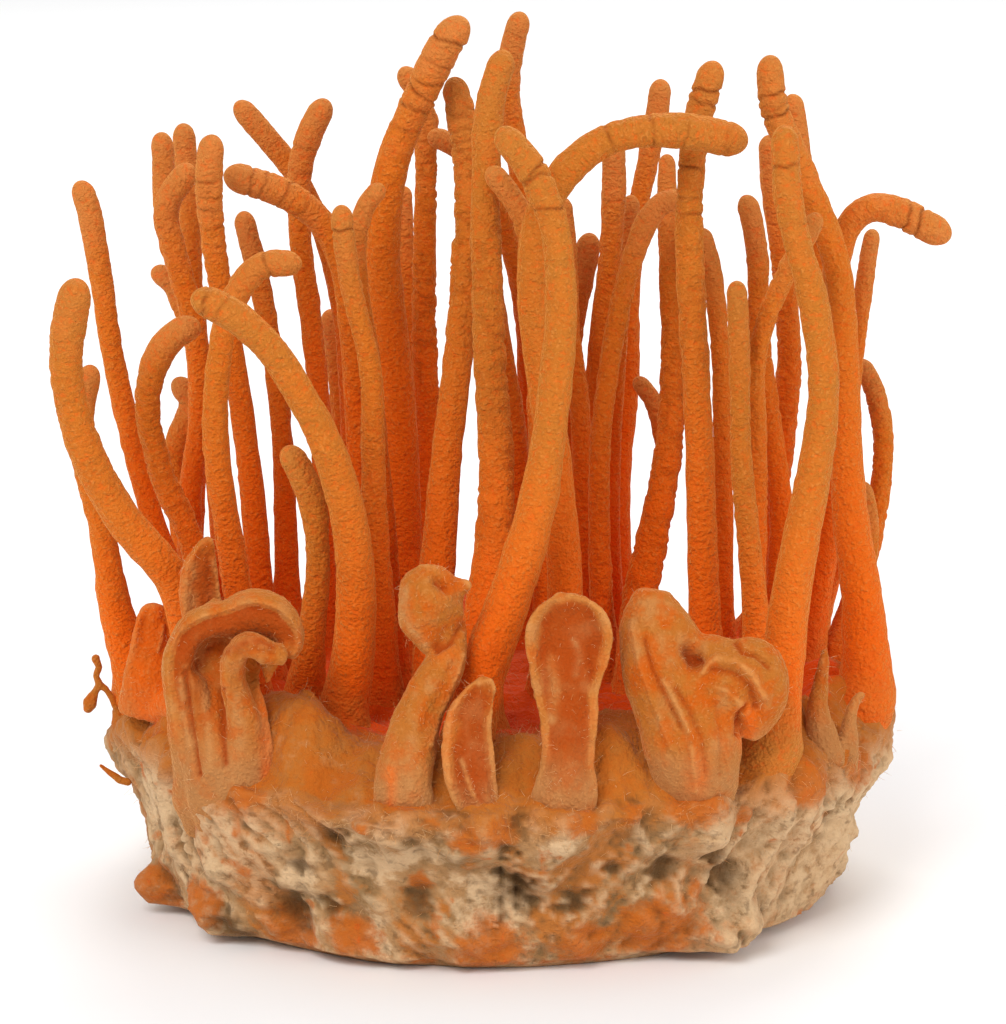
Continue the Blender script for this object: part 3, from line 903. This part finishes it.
def growLobe(nodeName, arms, strokes):
    bm = bmesh.new()
    masks = []
    for arm in arms:
        mesh, cup, lip = growArm(arm)
        masks += zip(placesOf(mesh), cup, lip)
        bm.from_mesh(mesh)
        bpy.data.meshes.remove(mesh)
    nearest = KDTree(len(masks))
    for i, mask in enumerate(masks):
        nearest.insert(mask[0], i)
    nearest.balance()
    rough = bpy.data.meshes.new(nodeName + "Rough")
    bm.to_mesh(rough)
    bm.free()
    former = bpy.data.objects.new(nodeName + "Rough", rough)
    bpy.context.collection.objects.link(former)
    knit = former.modifiers.new("knit", "REMESH")
    knit.mode = "VOXEL"
    knit.voxel_size = lobeLook["voxel"] * mm
    ease = former.modifiers.new("ease", "SMOOTH")
    ease.factor = 0.6
    ease.iterations = 12
    settled = former.evaluated_get(bpy.context.evaluated_depsgraph_get())
    mesh = bpy.data.meshes.new_from_object(settled)
    mesh.name = nodeName
    bpy.data.objects.remove(former)
    places, normals = placesOf(mesh), normalsOf(mesh)
    close = [nearest.find(place)[1] for place in places]
    hollow = np.array([masks[i][1] for i in close])
    rim = np.array([masks[i][2] for i in close]) * (1 - hollow)
    relief = lobeLook["unevenness"] * layeredNoise(places, 2.4, 21) + lobeLook["grain"] * smoothNoise(places, 0.45, 25)
    brushed = smoothNoise(places * (1, 1, 0.35), 0.6, 35)
    fuzz = 0.5 * eased(smoothNoise(places, 1.8, 33) + 0.5 * brushed, 0.0, 0.9) * (1 - 0.6 * hollow)
    low = eased(places[:, 2] + 2 * smoothNoise(places, 2.5, 38), 26, 18) * 0.95
    vivid = np.zeros(len(places))
    relief += 0.05 * brushed
    for stroke in strokes:
        mark = strokeOn(places, normals, stroke["line"], stroke["reach"])
        relief += stroke.get("rise", 0) * mark
        hollow = np.maximum(hollow * (1 - mark * (stroke.get("clear", 0))), mark * stroke.get("hollow", 0))
        rim = np.maximum(rim, mark * stroke.get("rim", 0))
        fuzz = np.maximum(fuzz * (1 - mark * stroke.get("clean", 0)), mark * stroke.get("fuzz", 0))
        vivid = np.maximum(vivid, mark * stroke.get("vivid", 0))
    movePlaces(mesh, places + normals * relief[:, None])
    out = standingOut(mesh, 10)
    broken = 0.55 + 0.45 * smoothNoise(places, 1.1, 37)
    paint(mesh, "rim", np.clip(0.6 * rim * broken + 0.8 * eased(out, 0.04, 0.15), 0, 0.9))
    paint(mesh, "hollow", np.clip(hollow * 0.9 + 0.5 * eased(-out, 0.02, 0.12), 0, 1))
    paint(mesh, "fuzz", fuzz)
    paint(mesh, "low", low)
    paint(mesh, "vivid", vivid.clip(0, 1) * (0.8 + 0.2 * brushed))
    return asPiece(nodeName.replace("_", "") + "Growth", mesh, lobeMaterial, [nodeName])


growths = [growLobe(nodeName, lobe["arms"], lobe["strokes"]) for nodeName, lobe in lobes.items()]
print("lobes grown:", len(lobes))

# Fine threads: felt on the front rim, the stems' feet and the growths
threads = dict(rim=2600, lobe=1900, radius=0.02, shortest=0.25, longest=0.75, steps=4)


def spinThreads(name, starts, ways, lengths, seed):
    curve = bpy.data.curves.new(name, "CURVE")
    curve.dimensions = "3D"
    curve.bevel_depth = threads["radius"] * mm
    curve.bevel_resolution = 0
    chance = np.random.default_rng(seed)
    for start, way, length in zip(starts, ways, lengths):
        spline = curve.splines.new("POLY")
        spline.points.add(threads["steps"])
        bend = chance.normal(size=3) * 0.5
        for i, point in enumerate(spline.points):
            t = i / threads["steps"]
            place = start - way * 0.1 + (way * t + bend * t * t - np.array((0, 0, 0.25)) * t * t) * length
            point.co = (*(place * mm), 1)
            point.radius = 1 - 0.7 * t
    former = bpy.data.objects.new(name + "Rough", curve)
    bpy.context.collection.objects.link(former)
    mesh = bpy.data.meshes.new_from_object(former.evaluated_get(bpy.context.evaluated_depsgraph_get()))
    mesh.name = name
    bpy.data.objects.remove(former)
    bpy.data.curves.remove(curve)
    return mesh


def threadsOn(piece, count, chosen, seed):  # starts, directions and lengths, on vertices drawn by their weight
    chance = np.random.default_rng(seed)
    places, normals = placesOf(piece.data), normalsOf(piece.data)
    weight = chosen(places, normals)
    picked = chance.choice(len(places), count, p=weight / weight.sum())
    starts = places[picked] + chance.normal(scale=0.15, size=(count, 3))
    ways = normals[picked] + chance.normal(scale=0.45, size=(count, 3))
    lengths = chance.uniform(threads["shortest"], threads["longest"], count)
    return starts, ways, lengths


# Small strings of beads and a thin spike at the left edge of the cake
strings = [
    dict(beads=[(121, 716, 0.35), (116, 708, 0.32), (112, 698, 0.34), (106, 689, 0.32), (99, 684, 0.42), (96, 676, 0.34),
                (99, 667, 0.36), (95, 657, 0.5)], depth=-6),
    dict(beads=[(99, 684, 0.34), (95, 692, 0.4), (90, 703, 0.75), (88, 709, 0.5)], depth=-6),
    dict(beads=[(128, 782, 0.4), (120, 780, 0.4), (112, 774, 0.34), (105, 769, 0.26), (100, 765, 0.18)], depth=-8),
]


def makeThreadMaterial():
    material, tree, shader = startMaterial("paleThread", 0.9, 0.2, (1.0, 0.75, 0.5))
    grain = addNode(tree, "ShaderNodeGroup", dict(node_tree=grainGroup))
    colour = blended(tree, stretched(tree, grain.outputs["Mottle"], 0.4, 0.6), (0.70, 0.44, 0.22), (0.66, 0.28, 0.08))
    tree.links.new(colour, shader.inputs["Base Color"])
    return material


def growFelt():
    threadMaterial = makeThreadMaterial()
    onRim = threadsOn(cakePiece, threads["rim"], lambda places, normals:
                      eased(places[:, 2], 13, 19) * eased(-places[:, 1], 4, 22) + 0.04 * (places[:, 2] > 3), 5)
    asPiece("rimFelt", spinThreads("rimFelt", *onRim, 6), threadMaterial)
    share = [threads["lobe"] // len(growths)] * len(growths)
    onLobes = [threadsOn(piece, count, lambda places, normals: 0.2 + eased(-normals[:, 1], -0.2, 0.6), 7 + i)
               for i, (piece, count) in enumerate(zip(growths, share))]
    starts, ways, lengths = (np.concatenate(parts) for parts in zip(*onLobes))
    asPiece("lobeFelt", spinThreads("lobeFelt", starts, ways, lengths * 0.7, 8), threadMaterial)


def threadBeads():
    bm = bmesh.new()
    for string in strings:
        spots = [(seenAt(column, row, string["depth"]), size) for column, row, size in string["beads"]]
        for (here, size), (there, nextSize) in zip(spots, spots[1:]):
            for i in range(5):
                t = i / 5
                made = bmesh.ops.create_icosphere(bm, subdivisions=2, radius=(size * (1 - t) + nextSize * t) * mm)
                bmesh.ops.translate(bm, verts=made["verts"], vec=here.lerp(there, t) * mm)
    rough = bpy.data.meshes.new("edgeBeadsRough")
    bm.to_mesh(rough)
    bm.free()
    former = bpy.data.objects.new("edgeBeadsRough", rough)
    bpy.context.collection.objects.link(former)
    knit = former.modifiers.new("knit", "REMESH")
    knit.mode = "VOXEL"
    knit.voxel_size = 0.12 * mm
    mesh = bpy.data.meshes.new_from_object(former.evaluated_get(bpy.context.evaluated_depsgraph_get()))
    mesh.name = "edgeBeads"
    bpy.data.objects.remove(former)
    places = placesOf(mesh)
    movePlaces(mesh, places + normalsOf(mesh) * (0.05 * smoothNoise(places, 0.6, 4))[:, None])
    for name in ("rim", "hollow", "fuzz", "low", "vivid"):
        paint(mesh, name, np.zeros(len(mesh.vertices)))
    return asPiece("edgeBeads", mesh, lobeMaterial)


threadBeads()
growFelt()
print("beads and felt done")

# Floor, light and camera
studio = dict(floor=(0.93, 0.93, 0.93), world=0.6, key=7.0, fill=2.4, back=5.0)


def softLight(name, place, aim, size, energy):
    light = bpy.data.lights.new(name, "AREA")
    light.shape = "DISK"
    light.size = size
    light.energy = energy
    lamp = bpy.data.objects.new(name, light)
    lamp.location = place
    lamp.rotation_euler = (Vector(aim) - Vector(place)).to_track_quat("-Z", "Y").to_euler()
    bpy.context.collection.objects.link(lamp)


def setStudio():
    bm = bmesh.new()
    bmesh.ops.create_grid(bm, x_segments=1, y_segments=1, size=6.0)
    mesh = bpy.data.meshes.new("floor")
    bm.to_mesh(mesh)
    bm.free()
    paper = bpy.data.materials.new("palePaper")
    paper.use_nodes = True
    paper.node_tree.nodes["Principled BSDF"].inputs["Base Color"].default_value = (*studio["floor"], 1)
    paper.node_tree.nodes["Principled BSDF"].inputs["Roughness"].default_value = 0.9
    mesh.materials.append(paper)
    floor = bpy.data.objects.new("floor", mesh)
    bpy.context.collection.objects.link(floor)
    world = bpy.data.worlds.new("paleRoom")
    world.use_nodes = True
    world.node_tree.nodes["Background"].inputs["Color"].default_value = (1, 1, 1, 1)
    world.node_tree.nodes["Background"].inputs["Strength"].default_value = studio["world"]
    bpy.context.scene.world = world
    softLight("keyLight", (-0.35, -0.75, 0.75), (0, 0, 0.04), 0.6, studio["key"])
    softLight("fillLight", (0.7, -0.5, 0.35), (0, 0, 0.04), 0.6, studio["fill"])
    softLight("backLight", (0.1, 0.7, 0.8), (0, 0, 0.05), 0.7, studio["back"])
    bpy.context.scene.view_settings.view_transform = "Standard"


def placeCamera():
    data = bpy.data.cameras.new("view")
    data.lens = camera["distance"] * camera["pointsPerMm"] / camera["height"] * data.sensor_width
    data.clip_start, data.clip_end = 0.01, 20
    thing = bpy.data.objects.new("view", data)
    thing.location = eye * mm
    thing.rotation_euler = forward.to_track_quat("-Z", "Y").to_euler()
    bpy.context.collection.objects.link(thing)
    bpy.context.scene.camera = thing


setStudio()
placeCamera()
print("studio set")
